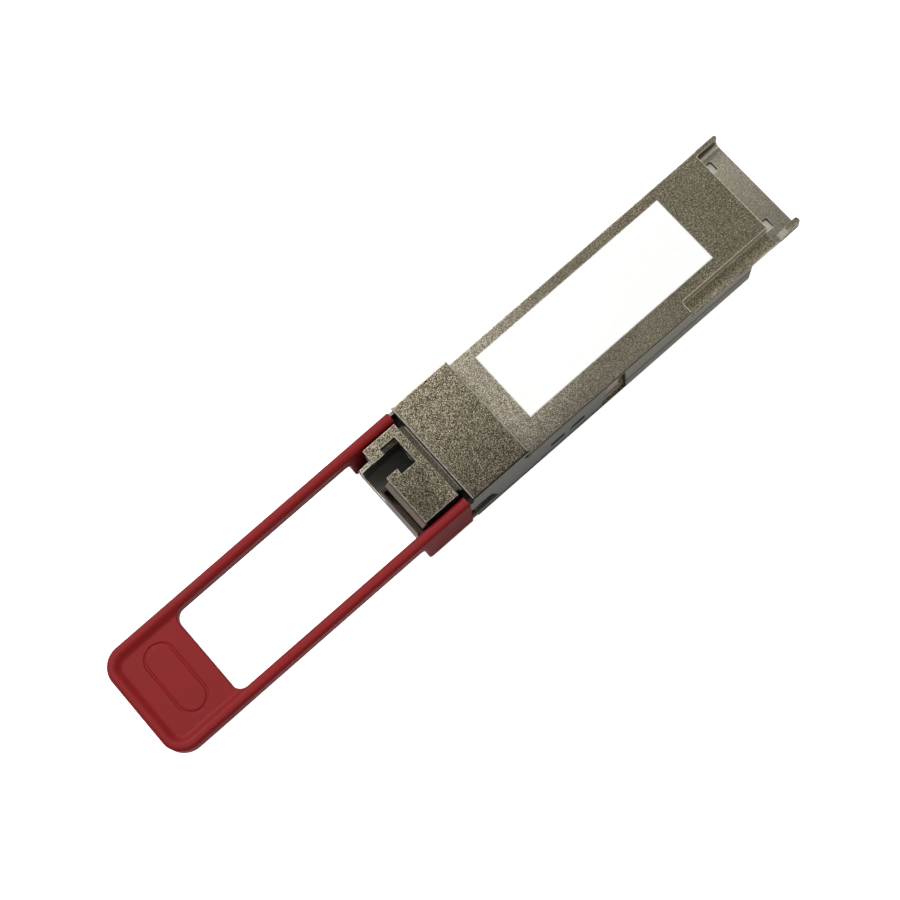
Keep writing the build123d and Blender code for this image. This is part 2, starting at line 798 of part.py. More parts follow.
def fibre_barrel():
    """Turned steel barrel that guides the plug's ferrule, with the flange that seats in the bulkhead."""
    barrel = rod_along_x(barrel_radius, barrel_front, block_front, fibre_y, fibre_z)
    barrel = chamfer(barrel.edges().group_by(Axis.X)[0], barrel_bevel)
    barrel += rod_along_x(barrel_flange_radius, block_front - barrel_flange, block_front, fibre_y, fibre_z)
    barrel -= rod_along_x(sleeve_radius, barrel_front - 1, sleeve_back, fibre_y, fibre_z)
    return barrel - rod_along_x(stub_radius, sleeve_back - 0.1, block_front + 1, fibre_y, fibre_z)


def split_sleeve():
    """Slotted ceramic sleeve whose bore holds the plug's ferrule in line."""
    sleeve = rod_along_x(sleeve_radius, sleeve_front, sleeve_back, fibre_y, fibre_z)
    sleeve -= rod_along_x(ferrule_radius, sleeve_front - 1, sleeve_back + 1, fibre_y, fibre_z)
    return sleeve - block(sleeve_front - 1, sleeve_back + 1, fibre_y - sleeve_split / 2,
                          fibre_y + sleeve_split / 2, fibre_z, fibre_z + sleeve_radius + 1)


def fibre_stub():
    """Ceramic stub with the internal fibre, pressed into the barrel behind the sleeve."""
    return rod_along_x(stub_radius, sleeve_back + stub_gap, block_front, fibre_y, fibre_z)


def optic_block():
    """Square housing that holds the wavelength filter, with the laser behind and the receiver beside it."""
    body = block(block_front, block_back, block_side, block_side + block_wide, block_low, block_top)
    return chamfer(body.edges().filter_by(Axis.X), block_bevel)


def laser_can():
    """Round laser package on the back of the housing, with its wider base."""
    can = rod_along_x(laser_radius - can_step, block_back, laser_back, fibre_y, fibre_z)
    return can + rod_along_x(laser_radius, laser_back - laser_base, laser_back, fibre_y, fibre_z)


def receiver_can():
    """Round receiver package on the side of the housing, facing across the module."""
    across = Pos(block_middle, block_side, fibre_z) * Rot(90, 0, 0)
    can = across * Cylinder(receiver_radius - can_step, receiver_long, align=bottom)
    base = Pos(block_middle, block_side - receiver_long + receiver_base, fibre_z) * Rot(90, 0, 0)
    return can + base * Cylinder(receiver_radius, receiver_base, align=bottom)


def laser_flex():
    """Printed film from the laser's base down to the card's upper face."""
    film = block(laser_back, laser_back + flex_thick, fibre_y - flex_half, fibre_y + flex_half,
                 fibre_z - flex_half, fibre_z + flex_half)
    land = card_front + flex_reach
    run = Polygon(
        (laser_back + flex_thick / 2, fibre_z - flex_half),
        (land, card_high),
        (land + flex_land, card_high),
        (land + flex_land, card_high + flex_thick),
        (land, card_high + flex_thick),
        (laser_back + flex_thick, fibre_z - flex_half + flex_thick),
        (laser_back + flex_thick / 2, fibre_z - flex_half + flex_thick),
        align=None,
    )
    return film + plate_across_y(run, fibre_y - flex_half, fibre_y + flex_half)


def receiver_flex():
    """Printed film from the receiver's base back along the chamber and on to the card."""
    land = card_front + flex_reach
    film = block(block_middle - flex_half, land + flex_land, film_y, film_y + flex_thick,
                 fibre_z - flex_half, fibre_z + flex_half)
    down = block(land, land + flex_land, film_y, film_y + flex_thick, card_high, fibre_z)
    return film + down + block(land, land + flex_land, film_y - flex_half, film_y + flex_thick,
                               card_high, card_high + flex_thick)


def optic_cradle():
    """Moulded cradle on the base shell's floor that carries the optic housing."""
    seat = block(block_front + cradle_lip, block_back - cradle_lip, block_side - cradle_lip,
                 block_side + block_wide + cradle_lip, floor, block_low)
    return seat - block(block_front + cradle_rim, block_back - cradle_rim, block_side + cradle_rim,
                        block_side + block_wide - cradle_rim, floor, block_low - cradle_rim)


def hood_plate():
    """Stamped plate under the hood that bonds it to the card's ground, with a lug in each hood window."""
    plate = block(step_x - 1.0, hood_end - 0.6, -half + 1.4, half - 1.4, hood_low - 0.3, hood_low)
    for y in (-sight_y, sight_y):
        front = step_x + sight_inset
        plate += block(front + 0.1, front + sight_long - 0.1, y - sight_wide / 2 + 0.1,
                       y + sight_wide / 2 - 0.1, hood_low - 0.1, hood_low + 0.25)
    return plate


def cover_screws():
    """Flat-headed screws through the cover and the card into the base shell's posts."""
    screws = []
    head_low = label_face - 0.07 - screw_head_high
    for x in screw_places:
        screw = post(screw_radius, x, 0, screw_tip, head_low + 0.1)
        screw += post(screw_head_radius, x, 0, head_low, head_low + screw_head_high)
        socket = RegularPolygon(screw_radius * 0.7, 6)
        screw -= extrude(Pos(x, 0, head_low + screw_head_high - 0.4) * socket, amount=1)
        screws.append(screw)
    return screws


# ---- Write every node ---------------------------------------------------------------------------

processor_x = (screw_front + screw_back) / 2
pad_long = processor_long / 2 - pad_margin
pad_wide = processor_wide / 2 - pad_margin
write("label_shell", label_shell())
write("base_shell", base_shell())
write("port_blank", port_blank())
write("port_liner", port_liner())
write("pull_tab", pull_tab())
write("release_arm_left", arm_left)
write("release_arm_right", arm_right)
write("return_spring_left", spring_left)
write("return_spring_right", spring_right)
write("label", block(label_front, label_front + label_long, label_y - label_wide / 2,
                     label_y + label_wide / 2, label_face, label_face + label_thick))
write("cover_screws", cover_screws())
write("gasket_beads", gasket_beads())
write("paddle_card", paddle_card())
write("edge_contacts", edge_contacts())
write("hood_plate", hood_plate())
write("fibre_barrel", fibre_barrel())
write("split_sleeve", split_sleeve())
write("fibre_stub", fibre_stub())
write("optic_block", optic_block())
write("laser_can", laser_can())
write("receiver_can", receiver_can())
write("laser_flex", laser_flex())
write("receiver_flex", receiver_flex())
write("optic_cradle", optic_cradle())
write("optic_heat_pad", block(block_front + pad_margin, block_back - pad_margin, block_side + pad_margin,
                              block_side + block_wide - pad_margin, block_top, chamber_top))
write("signal_processor", chip(processor_x, 0, (processor_long, processor_wide, processor_high), top=False))
write("processor_heat_pad", block(processor_x - pad_long, processor_x + pad_long, -pad_wide, pad_wide,
                                  floor, card_low - processor_high))
write("laser_driver", chip(card_front + driver_from_card, driver_y, (driver_side, driver_side, driver_high)))
write("receiver_amplifier", chip(card_front + amplifier_from_card, amplifier_y,
                                 (amplifier_side, amplifier_side, amplifier_high)))
write("microcontroller", chip(screw_back - controller_from_screw, controller_y,
                              (controller_side, controller_side, controller_high)))
write("clock_crystal", chip(screw_back - crystal_from_screw, crystal_y,
                            (crystal_long, crystal_wide, crystal_high)))
write("power_inductors", chokes())
write("capacitors", capacitors())
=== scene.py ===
import math

import bpy
import numpy as np
from mathutils import Matrix, Vector


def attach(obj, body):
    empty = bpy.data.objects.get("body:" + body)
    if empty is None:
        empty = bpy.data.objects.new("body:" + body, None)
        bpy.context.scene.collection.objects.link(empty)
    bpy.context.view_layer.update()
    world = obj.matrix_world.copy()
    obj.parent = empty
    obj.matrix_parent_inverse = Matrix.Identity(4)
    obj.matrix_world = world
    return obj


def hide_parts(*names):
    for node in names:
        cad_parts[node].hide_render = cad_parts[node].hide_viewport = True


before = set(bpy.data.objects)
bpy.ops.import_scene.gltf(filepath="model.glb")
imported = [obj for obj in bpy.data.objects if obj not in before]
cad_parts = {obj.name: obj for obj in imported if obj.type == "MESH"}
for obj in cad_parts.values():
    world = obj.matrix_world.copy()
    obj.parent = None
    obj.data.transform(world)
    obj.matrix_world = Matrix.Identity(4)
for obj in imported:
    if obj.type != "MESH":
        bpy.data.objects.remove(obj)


def write_size():
    """Brings the view layer up to date."""
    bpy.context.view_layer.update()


write_size()

# ---- Base shell ---------------------------------------------------------------------------------
# The lower half of the housing, die-cast in zinc, tumbled and plated with matte nickel.
# It is the tray that the card and the optics are laid in. Its flat face meets the host's heat sink.

MM = 0.001  # metres


def srgb(code):
    """Linear colour with alpha from a six-digit hex code."""
    values = [int(code[i:i + 2], 16) / 255 for i in (0, 2, 4)]
    return [v / 12.92 if v <= 0.04045 else ((v + 0.055) / 1.055) ** 2.4 for v in values] + [1.0]


def plug(tree, node, sources):
    """Fills a node's sockets, each with a plain value or with another node's output."""
    for key, source in sources.items():
        if isinstance(source, bpy.types.NodeSocket):
            tree.links.new(source, node.inputs[key])
        else:
            node.inputs[key].default_value = source


def add(tree, kind, sources=(), out=0, stops=(), **settings):
    """Adds one node with its settings, links and colour stops. Gives one output, or all of them."""
    node = tree.nodes.new("ShaderNode" + kind)
    for key, value in settings.items():
        setattr(node, key, value)
    for index, (position, code) in enumerate(stops):
        elements = node.color_ramp.elements
        stop = elements[index] if index < 2 else elements.new(position)
        stop.position, stop.color = position, srgb(code)
    plug(tree, node, sources if isinstance(sources, dict) else dict(enumerate(sources)))
    return node.outputs if out is None else node.outputs[out]


def start(name):
    """An empty material's tree, its Principled node and the object-space coordinates in metres."""
    made = bpy.data.materials.new(name)
    made.use_nodes = True
    tree = made.node_tree
    tree.nodes.clear()
    surface = add(tree, "BsdfPrincipled")
    add(tree, "OutputMaterial", [surface], None)
    return made, tree, surface.node, add(tree, "TexCoord", out="Object")


def grade(low_mm, high_mm, low=0.0, high=1.0):
    """The numbers of a change from one place to another, with the value at each."""
    return [low_mm * MM, high_mm * MM, low, high]


def product(tree, *values, outside=None):
    """Several values multiplied together, and by what another share leaves over."""
    if outside is not None:
        values += (add(tree, "Math", [1.0, outside], operation="SUBTRACT"),)
    whole = values[0]
    for value in values[1:]:
        whole = add(tree, "Math", [whole, value], operation="MULTIPLY")
    return whole


def between(tree, value, low_mm, high_mm, blur_mm=0.15):
    """1 where a coordinate lies between two places, with a short blur at both ends."""
    rise = add(tree, "MapRange", [value, *grade(low_mm - blur_mm, low_mm)])
    fall = add(tree, "MapRange", [value, *grade(high_mm, high_mm + blur_mm, 1.0, 0.0)])
    return product(tree, rise, fall)


def coated(tree, base, *coats, kind="RGBA"):
    """Colours, or for FLOAT plain values, laid over a base, each by its own share."""
    under, out = {"RGBA": (6, 2), "FLOAT": (2, 0)}[kind]
    for share, coat in coats:
        base = add(tree, "Mix", {0: share, under: base, under + 1: coat}, out, data_type=kind)
    return base


def grained(tree, place, size_mm, detail=2.0, rough=0.5, stretch=(1, 1, 1)):
    """A pattern of grains about size_mm wide, drawn out by stretch along each axis."""
    drawn = add(tree, "Mapping", {"Vector": place, "Scale": [1 / s for s in stretch]})
    return add(tree, "TexNoise", {"Vector": drawn, "Scale": 0.5 / (size_mm * MM),
                                  "Detail": detail, "Roughness": rough})


def speckle(tree, even, place, size_mm):
    """0.5 x an even noise + 0.3 x a value that each cell of about size_mm has to itself + 0.1."""
    cells = add(tree, "TexVoronoi", {"Vector": place, "Scale": 1 / (size_mm * MM)}, "Color")
    own = product(tree, add(tree, "SeparateXYZ", [cells], "X"), 0.3)
    shared = add(tree, "Math", [product(tree, even, 0.5), 0.1], operation="ADD")
    return add(tree, "Math", [own, shared], operation="ADD")


def edge_share(tree, radius_mm, low, high):
    """0 on flat faces, 1 on edges: 1 - the largest part of the rounded normal. Also that normal."""
    soft = add(tree, "Bevel", {"Radius": radius_mm * MM}, samples=8)
    parts = add(tree, "SeparateXYZ", [soft], None)
    x, y, z = (add(tree, "Math", [part], operation="ABSOLUTE") for part in parts)
    largest = add(tree, "Math", [x, y], operation="MAXIMUM")
    largest = add(tree, "Math", [largest, z], operation="MAXIMUM")
    lean = add(tree, "Math", [1.0, largest], operation="SUBTRACT")
    return add(tree, "MapRange", [lean, low, high]), soft


# Grain sizes in mm. The real grains are finer, and these are as coarse as they need to be to show.
PIT, CELL, FLECK, CLOUD = 0.048, 0.085, 0.055, 3.5
PIT_DEPTH, FLECK_STRETCH = 0.05, (2.0, 1, 1)
PIT_STRENGTH, SIDE_CALM = (0.5, 0.9), 0.4   # on the body and the nose, and how much less on a side
EDGE_RADIUS, EDGE_LEAN = 0.2, (0.03, 0.14)  # mm, and where edge wear and painted highlight start and are full

# Tones from the pits to the tops of the grains.
GRAINS = {
    "coarse": [(0.36, "29251e"), (0.46, "4c4538"), (0.54, "706853"), (0.66, "dad1b8")],
    "even": [(0.36, "4b463c"), (0.47, "676154"), (0.56, "847d6d"), (0.66, "c0baaa")],
    "calm": [(0.34, "7f7a69"), (0.50, "958f7d"), (0.58, "a39d8a"), (0.68, "cfc9b8")],
    "smooth": [(0.30, "7b786c"), (0.72, "89867a")],
    # Painted shade: the darker tone of the sunk neck and of the walls behind the arms.
    "shade_dark": [(0.36, "2a2721"), (0.66, "7d7768")],
    # Painted shade, near black: behind the slots and along the edges on the -y side.
    "shade_black": [(0.36, "0c0b0a"), (0.66, "2c2a25")],
}
FLECKS = [(0.34, "4c4639"), (0.47, "655e4e"), (0.56, "7b7462"), (0.66, "b2aa94")]
# Exposed metal on the edges, and the painted highlight on them.
WORN_AND_HIGHLIT = "fbf4e2"

# Zones of the shells, in mm.
NOSE_RISE = grade(9.5, 9.9)                 # z: the nose and the port's plate stand above this
NECK_X, NECK_BLUR = (-5.2, -4.1), 0.05      # the sunk neck between them, painted darker as shade
PLATE_END = grade(*NECK_X, 1.0, 0.0)
HOOD_X, HOOD_Z = (55.0, 60.0), (4.0, 7.0)   # the thin hood over the contacts
LEDGE = ((38.2, 55.0), (-9.0, -6.0), (4.0, 8.3))    # the side ledge's reach along x, y and z
WALL_Y = (7.2, 8.2)                         # the walls behind the arms' notch and slots, painted darker as shade
POCKET_Y, POCKET_Z = (6.9, 8.46), (0.5, 7.2)        # the pockets under the arms
SLOTS_X, CATCH_X = (8.5, 17.5), (18.5, 26.0)        # painted shade behind the slots, painted light in the catch pocket
TUMBLED_X = grade(14.0, 40.0)               # the body's grain grows finer from here to there
SIDEWAYS = (0.75, 0.95)                     # how far a side's normal points along y

# Painted light: how bright the plating is painted from one place to another along x or y, standing
# in for how the light falls.
BODY_X = grade(9.0, 40.0, 0.56, 0.78)
PAINTED_SHEEN_X, PAINTED_SHEEN_Y = grade(9.0, 26.0, 0.56, 0.0), grade(-8.5, -3.5)     # a painted sheen beside the nose
NOSE_Y = grade(-9.0, 9.0, 0.36, 0.87)
PLATE_Y, PLATE_X = grade(-4.0, 8.0, 0.34, 0.86), grade(-8.5, -6.0, 0.30, 0.60)
SIDE_X = grade(-5.0, 50.0, 0.80, 1.25)
HOOD_Y = grade(-9.0, 9.0, 0.52, 0.88)
CLOUDS, NECK_SHADE_CLOUDS = (0.3, 0.7, 0.92, 1.08), (0.3, 0.7, 0.45, 0.60)    # tarnish, in wide patches, and on the neck painted shade as well
LEDGE_LIFT, CATCH_LIFT = 0.4, 0.8           # painted light: what brightens the shaded ledge and catch pocket

# Wear and painted highlight of the edges, with painted shade on some, from one place to another.
SHADED_EDGE_Y, SHADED_EDGE_X = grade(-8.95, -8.80), grade(50.0, 52.0)     # painted shade darkens the edges outside and before these
EARS_X, EARS_Z = grade(55.2, 55.6, 0.0, 0.6), grade(6.9, 7.3)   # the ears get less wear and painted highlight
DIMMER_PLATE_EDGE_Y = grade(6.0, 7.0, 0.5, 0.0)          # the plate's edges get half the wear and painted highlight before this
LIT_EDGE_Y = grade(8.84, 8.92, 0.0, 0.85)        # a painted highlight on the long edge outside this
WEAR_AND_HIGHLIGHT, HOOD_LESS_WEAR_AND_HIGHLIGHT = (0.40, 0.56, 0.55, 0.95), 0.3   # the tops of the grains get the most wear and painted highlight, the hood less


def shell_zones(tree, place, facing):
    """The three coordinates, and shares that are each 1 in one zone of the shells."""
    x, y, z = add(tree, "SeparateXYZ", [place], None)
    wide = add(tree, "Math", [y], operation="ABSOLUTE")
    turned = add(tree, "Math", [facing], operation="ABSOLUTE")
    raised = add(tree, "MapRange", [z, *NOSE_RISE])
    hood = product(tree, between(tree, x, *HOOD_X), between(tree, z, *HOOD_Z))
    inner = product(tree, between(tree, wide, *POCKET_Y), between(tree, z, *POCKET_Z))
    ledge = [between(tree, value, *reach) for value, reach in zip((x, y, z), LEDGE)]
    return {
        "x": x, "y": y, "z": z, "raised": raised, "hood": hood,
        "plate": add(tree, "MapRange", [x, *PLATE_END]),
        "neck": product(tree, between(tree, x, *NECK_X, NECK_BLUR), raised),
        "side": product(tree, add(tree, "MapRange", [turned, *SIDEWAYS]), outside=hood),
        "wall": between(tree, wide, *WALL_Y),
        "slots": product(tree, inner, between(tree, x, *SLOTS_X)),
        "catch": product(tree, inner, between(tree, x, *CATCH_X)),
        "ledge": product(tree, *ledge),
    }


def shell_tone(tree, zone, grain, fleck):
    """The plating's colour: each zone's own grain laid over the body's, with painted light and
    shade in some. Also the near black of painted shade.
    """
    tones = {name: add(tree, "ValToRGB", [grain], stops=stops) for name, stops in GRAINS.items()}
    fine = add(tree, "ValToRGB", [fleck], stops=FLECKS)
    # Painted shade: the walls behind the arms are darker.
    walls = coated(tree, tones["smooth"], (zone["wall"], tones["shade_dark"]))
    # Painted shade behind the slots and in the neck, painted light in the catch pocket.
    tone = coated(tree, tones["even"],
                  (add(tree, "MapRange", [zone["x"], *TUMBLED_X]), fine),
                  (zone["raised"], tones["coarse"]), (zone["hood"], tones["calm"]),
                  (zone["side"], walls), (zone["slots"], tones["shade_black"]),
                  (zone["catch"], tones["calm"]), (zone["neck"], tones["shade_dark"]))
    return tone, tones["shade_black"]


def shell_gain(tree, zone, cloud):
    """Painted light: how bright the plating is painted, each zone's slope of brightness x what its
    shaded pockets add.
    """
    x, y = zone["x"], zone["y"]
    # A painted sheen beside the nose.
    painted_sheen = product(tree, *(add(tree, "MapRange", [value, *slope])
                             for value, slope in ((x, PAINTED_SHEEN_X), (y, PAINTED_SHEEN_Y))))
    body = add(tree, "Math", [add(tree, "MapRange", [x, *BODY_X]), painted_sheen], operation="ADD")
    body = product(tree, body, add(tree, "MapRange", [cloud, *CLOUDS]))
    plate = [add(tree, "MapRange", [y, *PLATE_Y]), add(tree, "MapRange", [x, *PLATE_X])]
    # Painted light across the nose and the plate, and painted shade on the neck.
    raised = coated(tree, add(tree, "MapRange", [y, *NOSE_Y]),
                    (zone["plate"], add(tree, "Math", plate, operation="MAXIMUM")),
                    (zone["neck"], add(tree, "MapRange", [cloud, *NECK_SHADE_CLOUDS])), kind="FLOAT")
    # Painted light along the sides and across the hood.
    gain = coated(tree, body, (zone["raised"], raised),
                  (zone["side"], add(tree, "MapRange", [x, *SIDE_X])),
                  (zone["hood"], add(tree, "MapRange", [y, *HOOD_Y])), kind="FLOAT")
    # Painted light brightens the shaded ledge and catch pocket.
    ledge_side = add(tree, "Math", [zone["side"], LEDGE_LIFT], operation="ADD")
    lifts = [product(tree, zone["ledge"], ledge_side), product(tree, zone["catch"], CATCH_LIFT)]
    lift = add(tree, "Math", lifts, operation="ADD")
    return product(tree, gain, add(tree, "Math", [lift, 1.0], operation="ADD"))


def shell_edge_wear_and_light(tree, zone, edge_wear_and_highlight, grain, shade_black):
    """How far the edges wear and take painted highlight, and the colour there: exposed metal with
    painted highlight, or painted shade on the -y edges.
    """
    x, y, z = zone["x"], zone["y"], zone["z"]
    # Painted shade on the edges at the -y side, up to the back.
    shaded_edge = [add(tree, "MapRange", [y, *SHADED_EDGE_Y]), add(tree, "MapRange", [x, *SHADED_EDGE_X])]
    colour = coated(tree, shade_black, (add(tree, "Math", shaded_edge, operation="MAXIMUM"), srgb(WORN_AND_HIGHLIT)))
    patchy = [add(tree, "MapRange", [grain, *WEAR_AND_HIGHLIGHT]), product(tree, zone["hood"], HOOD_LESS_WEAR_AND_HIGHLIGHT)]
    patchy = add(tree, "Math", patchy, operation="SUBTRACT")
    ears = [add(tree, "MapRange", [x, *EARS_X]), add(tree, "MapRange", [z, *EARS_Z])]
    # Less wear and painted highlight on the plate's -y edges, and none in the neck.
    dimmer_edges = product(tree, zone["plate"], zone["raised"], add(tree, "MapRange", [y, *DIMMER_PLATE_EDGE_Y]))
    dimmer_edges = add(tree, "Math", [zone["neck"], dimmer_edges], operation="MAXIMUM")
    bare_and_lit = product(tree, product(tree, patchy, outside=product(tree, *ears)), outside=dimmer_edges)
    # A painted highlight along the long edge at the +y side.
    lit_edge = product(tree, add(tree, "MapRange", [y, *LIT_EDGE_Y]), outside=zone["side"])
    return product(tree, add(tree, "Math", [edge_wear_and_highlight, lit_edge], operation="MAXIMUM"), bare_and_lit), colour


def cast_nickel():
    """Blasted grains catch the light one by one, sliding faces are smooth, edges bright with wear
    and painted highlight, painted light and shade elsewhere.
    """
    made, tree, body, place = start("cast_nickel")
    edge_wear_and_highlight, soft = edge_share(tree, EDGE_RADIUS, *EDGE_LEAN)
    zone = shell_zones(tree, place, add(tree, "SeparateXYZ", [soft], "Y"))
    pits = grained(tree, place, PIT, rough=0.6)
    grain = speckle(tree, pits, place, CELL)
    tone, shade_black = shell_tone(tree, zone, grain,
                            grained(tree, place, FLECK, rough=0.6, stretch=FLECK_STRETCH))
    gain = shell_gain(tree, zone, grained(tree, place, CLOUD))
    toned = add(tree, "VectorMath", {0: tone, "Scale": gain}, operation="SCALE")
    share, edge_wear_and_painted_light = shell_edge_wear_and_light(tree, zone, edge_wear_and_highlight, grain, shade_black)
    strength = [add(tree, "MapRange", [zone["raised"], 0.0, 1.0, *PIT_STRENGTH]),
                product(tree, zone["side"], SIDE_CALM)]
    strength = add(tree, "Math", strength, operation="SUBTRACT")
    relief = add(tree, "Bump", {"Height": pits, "Strength": strength, "Distance": PIT_DEPTH * MM})
    plug(tree, body, {"Base Color": coated(tree, toned, (share, edge_wear_and_painted_light)), "Normal": relief,
                      "Metallic": 1.0, "Roughness": 0.38})
    return made


def dress(made, *nodes):
    """Gives nodes of the part their material."""
    for node in nodes:
        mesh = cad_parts[node].data
        mesh.materials.clear()
        mesh.materials.append(made)


nickel = cast_nickel()
dress(nickel, "base_shell")

# ---- Gasket beads and heat pads -----------------------------------------------------------------
# Silver-filled silicone beads laid in the base shell's rims, and soft gap-filling pads on its
# floor. Both are dull to the eye, with no highlight.

SOFT_EDGE = 0.06    # mm, the radius that catches light on every small piece


def plain(name, code, rough, metal=0.0, grain=0.0, depth=0.0, spread=0.0, stretch=(1, 1, 1)):
    """One colour, broken by a fine grain of its own size and depth in mm and spread in tone."""
    made, tree, body, place = start(name)
    colour, normal = srgb(code), add(tree, "Bevel", {"Radius": SOFT_EDGE * MM}, samples=8)
    if grain:
        pattern = grained(tree, place, grain, 3.0, 0.55, stretch)
        normal = add(tree, "Bump", {"Height": pattern, "Normal": normal, "Strength": 0.5,
                                    "Distance": depth * MM})
        gain = add(tree, "MapRange", [pattern, 0.3, 0.7, 1 - spread, 1 + spread])
        colour = add(tree, "VectorMath", {0: colour[:3], "Scale": gain}, operation="SCALE")
    plug(tree, body, {"Base Color": colour, "Metallic": metal, "Roughness": rough,
                      "Normal": normal})
    return made


dress(plain("conductive_rubber", "3a3a3c", 0.8, grain=0.2, depth=0.02, spread=0.2), "gasket_beads")
dress(plain("heat_pad", "9aa3ab", 0.75, grain=0.3, depth=0.02, spread=0.08),
      "processor_heat_pad", "optic_heat_pad")

# ---- Circuit card -------------------------------------------------------------------------------
# Glass-epoxy card under green solder mask, with gold contacts plated on both faces of its tongue.
# Packages, chokes and chip capacitors are soldered to it by reflow.

TRACE_LONG, TRACE_PITCH, TRACE_GAP = 3.1, 0.6, 0.08     # mm, the copper under the mask


def solder_mask():
    """Green lacquer that shows the copper's tone under it in fine right-angled strips."""
    made, tree, body, place = start("circuit_card")
    traces = add(tree, "TexBrick", {
        "Vector": place, "Scale": 1.0, "Mortar Size": TRACE_GAP * MM,
        "Brick Width": TRACE_LONG * MM, "Row Height": TRACE_PITCH * MM,
        "Color1": srgb("1d4a2a"), "Color2": srgb("23552f"), "Mortar": srgb("12331c"),
    }, None, offset=0.37)
    relief = add(tree, "Bump", {"Height": traces["Fac"], "Strength": 0.3, "Distance": 0.02 * MM})
    plug(tree, body, {"Base Color": traces["Color"], "Normal": relief, "Roughness": 0.38})
    return made


dress(solder_mask(), "paddle_card")
# Hard gold keeps the fine lines of its plating bath along each finger.
dress(plain("gold_contact", "d9b565", 0.28, 1.0, 0.12, 0.004, 0.05, (6, 1, 1)), "edge_contacts")
# Moulded packages are an even, faintly sandy black.
dress(plain("package_epoxy", "2b2b2d", 0.6, grain=0.08, depth=0.004, spread=0.15),
      "signal_processor", "laser_driver", "receiver_amplifier", "microcontroller")
# Rolled stainless sheet is a grey satin with long fine lines along its length.
sheet = plain("sheet_steel", "76746c", 0.38, 1.0, 0.12, 0.006, 0.08, (14, 1, 1))
dress(sheet, "clock_crystal")
# Pressed ferrite is a rough brown-black, and fired ceramic a matte tan.
dress(plain("ferrite", "38332f", 0.7, grain=0.15, depth=0.01, spread=0.2), "power_inductors")
dress(plain("chip_ceramic", "a98a63", 0.5, grain=0.1, depth=0.004, spread=0.1), "capacitors")

# ---- Optics -------------------------------------------------------------------------------------
# A turned steel barrel with a slotted zirconia sleeve takes the plug's ferrule. Behind it the
# filter block carries the laser and the receiver in gold-plated cans. Amber film leads join both
# cans to the card.

# Turning leaves rings that shine round the barrel's axis.
dress(plain("turned_steel", "b9b7b1", 0.25, 1.0, 0.1, 0.004, 0.06, (1, 8, 8)),
      "fibre_barrel", "optic_block")
# Polished zirconia is a glossy ivory, nearly without grain.
dress(plain("zirconia", "efede4", 0.18, grain=0.3, depth=0.002, spread=0.02),
      "split_sleeve", "fibre_stub")
# Plated cans are a bright even gold.
dress(plain("gold_plate", "c9a55a", 0.25, 1.0, 0.15, 0.003, 0.05), "laser_can", "receiver_can")
# Polyimide film is a smooth clear amber.
dress(plain("flex_film", "b8742c", 0.35, grain=0.2, depth=0.003, spread=0.08),
      "laser_flex", "receiver_flex")
# Spark-eroded moulding, an even near-black with a low sheen.
black = plain("dark_plastic", "46453e", 0.55, grain=0.1, depth=0.004, spread=0.1)
dress(black, "optic_cradle")

# ---- Label shell, hood plate and screws ---------------------------------------------------------
# The upper die casting: cover, raised nose, fibre port with its latch window, and the thin hood
# over the contacts, with a sheet plate under it. Two screws under the label close it on the base
# shell.

dress(nickel, "label_shell")
# Bright rolled sheet, with the same lines as the arms and less tarnish.
dress(plain("rolled_sheet", "b2b1a8", 0.38, 1.0, 0.12, 0.006, 0.05, (14, 1, 1)), "hood_plate")
# Machined screws are bright, with a fine even grain.
dress(plain("steel_screw", "a3a29d", 0.35, 1.0, 0.15, 0.005, 0.08), "cover_screws")

# ---- Port blank and liner -----------------------------------------------------------------------
# The unused half of the port is closed by a smooth die-cast block with a groove and a front lip.
# A black moulded tray lies in the floor of the open half. Both are pressed in between the shells.

GROOVE_LIP, GROOVE_BLUR = 8.2, 0.3      # mm, z: the blank's groove lies below this and is painted dark as shade
FRONT_LIP, LIP_BLUR = (-13.05, -12.1), 0.08     # mm, x: its front lip is as dark as the groove
BLANK_GRAIN, BLANK_DEPTH = 0.10, 0.006
# The blank's edge wear and painted highlight.
BLANK_EDGE, BLANK_LEAN = 0.08, (0.15, 0.28)


def smooth_casting():
    """A fine satin, warm behind the lip, nearly black in the groove with painted shade and as dark
    on the front lip.
    """
    made, tree, body, place = start("smooth_casting")
    x, _, z = add(tree, "SeparateXYZ", [place], None)
    edge_wear_and_highlight, soft = edge_share(tree, BLANK_EDGE, *BLANK_LEAN)
    grain = grained(tree, place, BLANK_GRAIN, 3.0, 0.55)
    warm = add(tree, "ValToRGB", [grain], stops=[(0.3, "82766d"), (0.7, "8f8379")])
    deep = add(tree, "ValToRGB", [grain], stops=[(0.3, "40342e"), (0.7, "5e4f47")])
    edge_wear_and_painted_light = add(tree, "ValToRGB", [grain], stops=[(0.3, "b9b2aa"), (0.7, "d8d2ca")])
    # Painted shade darkens the groove; the front lip is as dark.
    groove = between(tree, z, 0.0, GROOVE_LIP, GROOVE_BLUR)
    lip = between(tree, x, *FRONT_LIP, LIP_BLUR)
    dark_groove_and_lip = add(tree, "Math", [groove, lip], operation="MAXIMUM")
    relief = add(tree, "Bump", {"Height": grain, "Normal": soft, "Strength": 0.5,
                                "Distance": BLANK_DEPTH * MM})
    plug(tree, body, {"Base Color": coated(tree, warm, (dark_groove_and_lip, deep), (edge_wear_and_highlight, edge_wear_and_painted_light)),
                      "Normal": relief, "Metallic": 1.0, "Roughness": 0.42})
    return made


dress(smooth_casting(), "port_blank")
dress(black, "port_liner")

# ---- Neck foam ----------------------------------------------------------------------------------
# Strips of black conductive foam, glued in the slot at each side of the neck, between the nose and
# the tab, to keep stray fields in; their black also stands as painted shade there. A flap of the
# same foam lies over the arm on one side as painted shade.

NECK_SHADE_FOAM = ((-4.70, -4.11), (6.30, 8.46), (0.40, 8.20))    # reach along x, y and z, in mm
